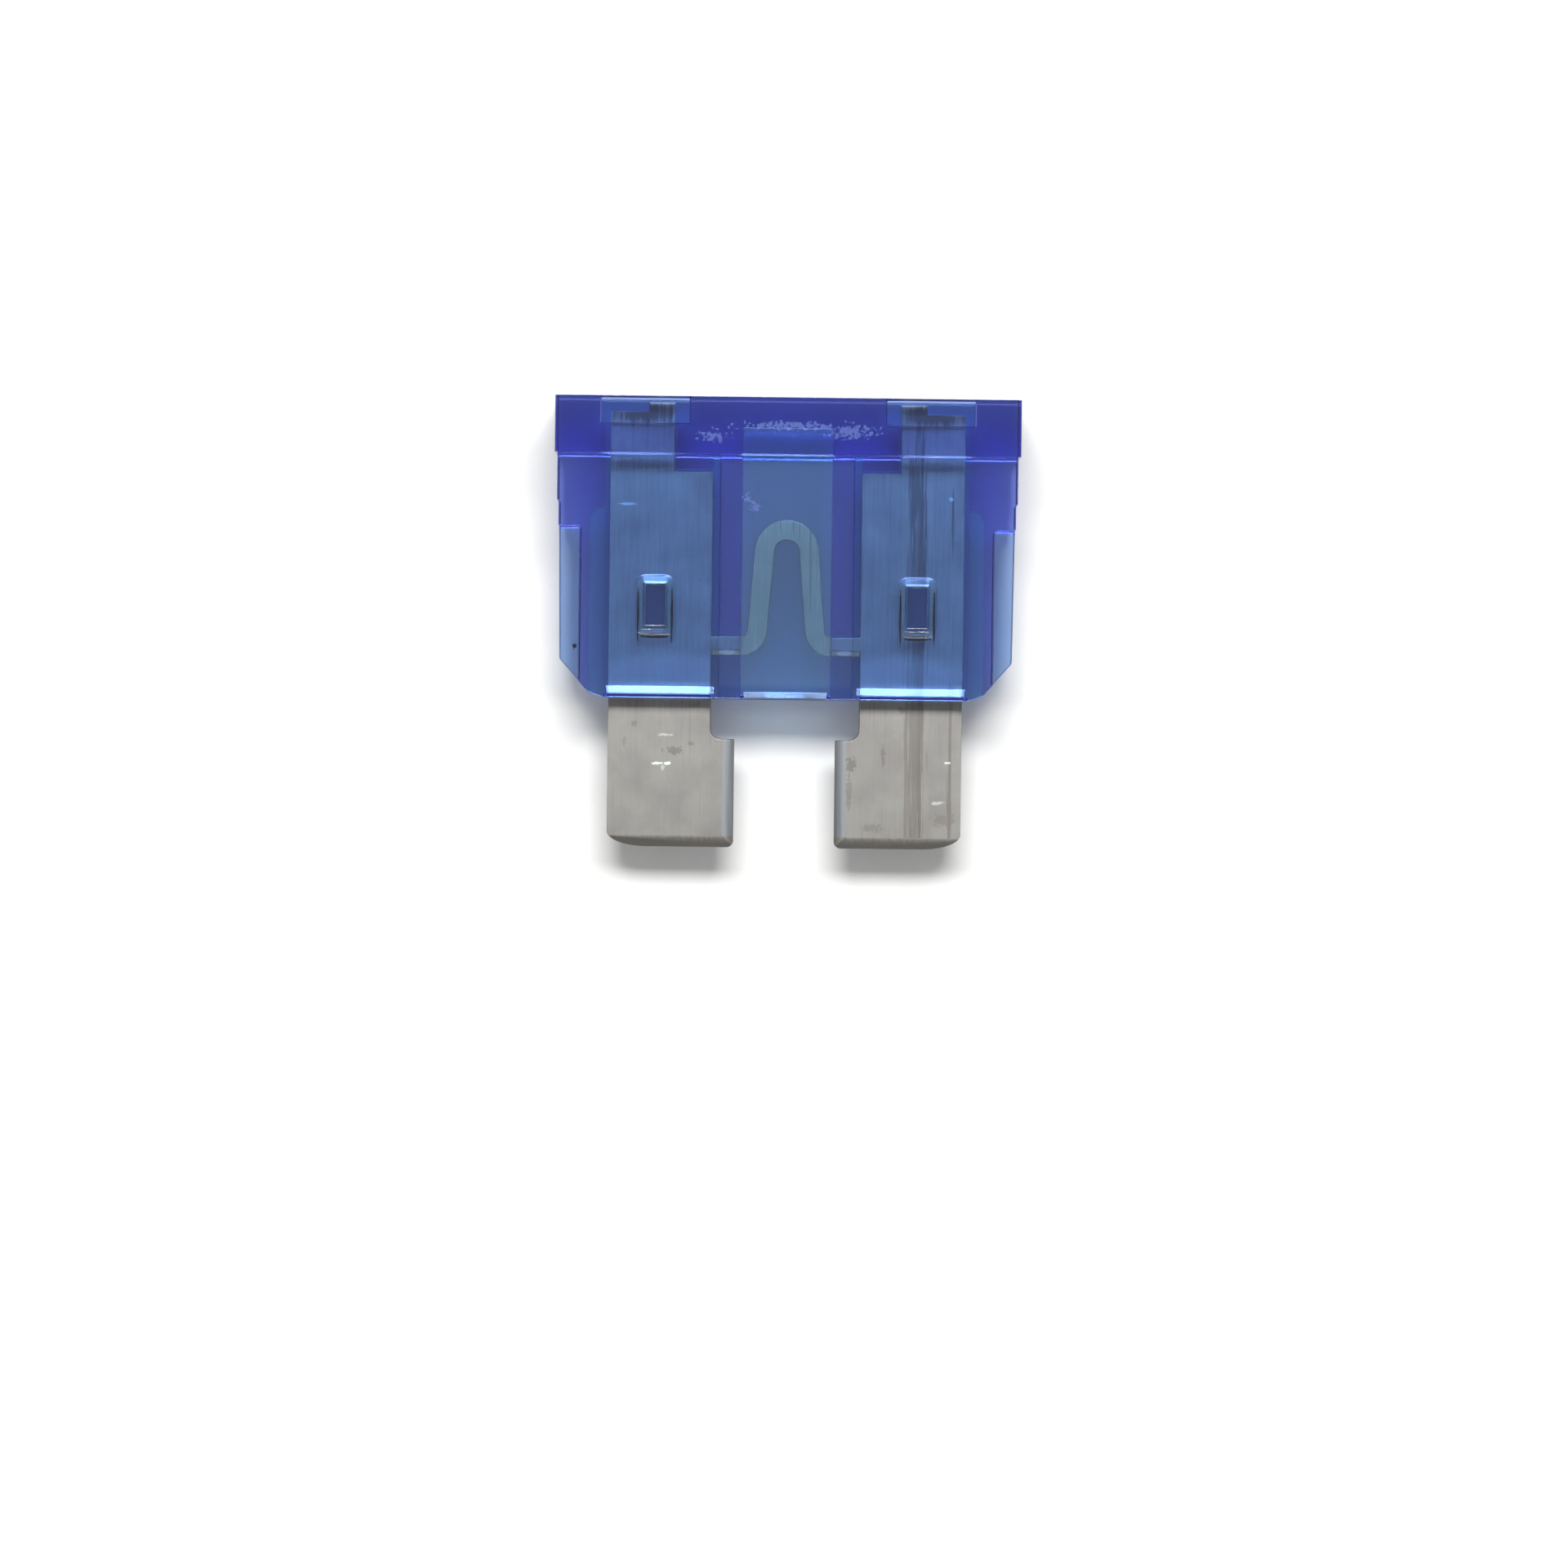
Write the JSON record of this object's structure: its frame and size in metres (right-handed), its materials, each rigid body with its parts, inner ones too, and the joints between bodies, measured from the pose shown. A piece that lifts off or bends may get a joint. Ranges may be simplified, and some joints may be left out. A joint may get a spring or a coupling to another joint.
{
  "type": "automotive blade fuse",
  "caption": "Plug-in fuse for vehicle circuits: flat metal blades joined by a thin link inside a clear blue moulded housing with test ports in its head.",
  "frame": {"origin": "under the middle of the fuse's box, on the plane that the back of the head lies on", "axes": "+X across the fuse, +Y along it from the blades to the head, +Z its thickness, from back to front"},
  "size_m": [0.019, 0.0184, 0.0051],
  "materials": {
    "clear_blue_plastic": "moulded, clear, tinted blue",
    "plated_zinc": "rolled strip, stamped and tin plated, satin"
  },
  "bodies": {
    "root": {"housing": "clear_blue_plastic", "fuse_element": "plated_zinc"}
  },
  "joints": []
}
